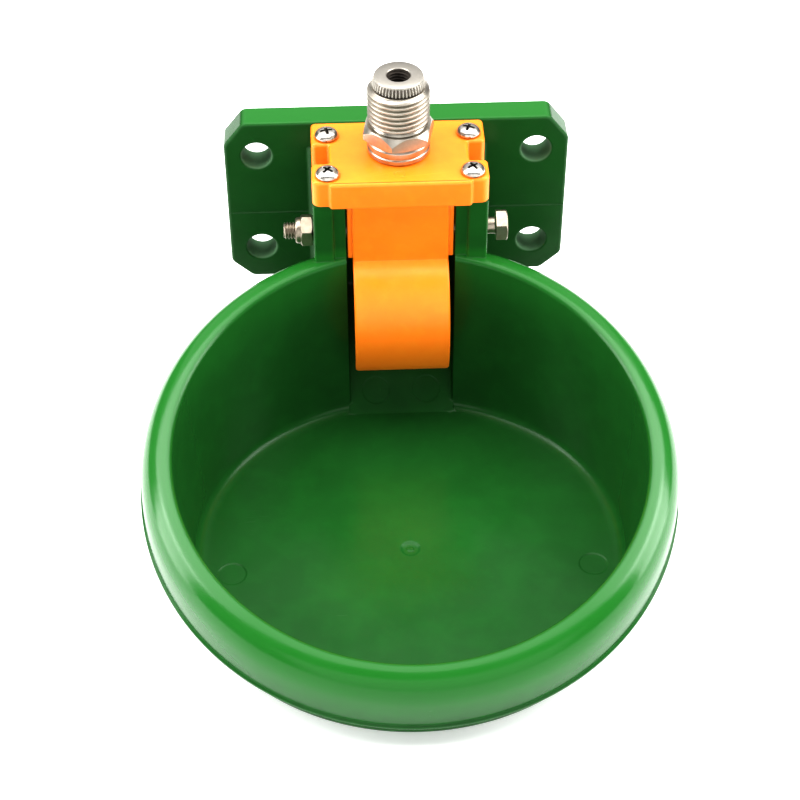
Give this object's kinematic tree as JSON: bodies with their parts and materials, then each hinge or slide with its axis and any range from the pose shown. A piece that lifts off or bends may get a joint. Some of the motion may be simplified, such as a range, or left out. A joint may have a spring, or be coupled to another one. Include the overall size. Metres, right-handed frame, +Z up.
{
  "type": "livestock water trough",
  "caption": "Wall-mounted round drinking bowl with a slanted rolled rim, a press paddle and a spring-closed inlet valve.",
  "frame": {"origin": "on the back face of the mounting plate, at the centre of its four holes", "axes": "+Y into the wall, +Z up, +X to the right seen from the front; the bowl reaches towards -Y"},
  "size_m": [0.1782, 0.2004, 0.1347],
  "materials": {
    "bowl_body": "glossy moulded polypropylene",
    "valve_cover": "satin moulded plastic",
    "cover_screw_1": "bright plated steel",
    "cover_screw_2": "bright plated steel",
    "cover_screw_3": "bright plated steel",
    "cover_screw_4": "bright plated steel",
    "valve_body": "turned stainless steel",
    "valve_lock_nut": "turned stainless steel",
    "inlet_plug": "turned and knurled stainless steel",
    "valve_spring": "drawn stainless wire",
    "valve_stem": "turned stainless steel",
    "stem_seal": "black nitrile rubber",
    "hinge_bolt": "zinc plated steel",
    "hinge_nut": "zinc plated steel",
    "hinge_nut_insert": "nylon",
    "press_paddle": "satin moulded plastic"
  },
  "bodies": {
    "housing": {"bowl_body": "bowl_body", "valve_cover": "valve_cover", "cover_screw_1": "cover_screw_1", "cover_screw_2": "cover_screw_2", "cover_screw_3": "cover_screw_3", "cover_screw_4": "cover_screw_4", "valve_body": "valve_body", "valve_lock_nut": "valve_lock_nut", "inlet_plug": "inlet_plug", "valve_spring": "valve_spring", "hinge_bolt": "hinge_bolt", "hinge_nut": "hinge_nut", "hinge_nut_insert": "hinge_nut_insert"},
    "paddle": {"press_paddle": "press_paddle"},
    "stem": {"valve_stem": "valve_stem", "stem_seal": "stem_seal"}
  },
  "joints": [
    {"name": "paddle_press", "type": "hinge", "parent": "housing", "child": "paddle", "pos_m": [0, -0.036, 0.007], "axis": [1, 0, 0], "range_deg": [0, 12], "stiffness_Nm_per_rad": 0.35, "springref_deg": -5.16},
    {"name": "stem_lift", "type": "slide", "parent": "housing", "child": "stem", "axis": [0, 0, 1], "range_m": [0, 0.00185], "deforming": ["valve_spring"]}
  ],
  "couplings": [
    {"joint": "stem_lift", "follows": "paddle_press", "m_per_rad": 0.0088}
  ]
}
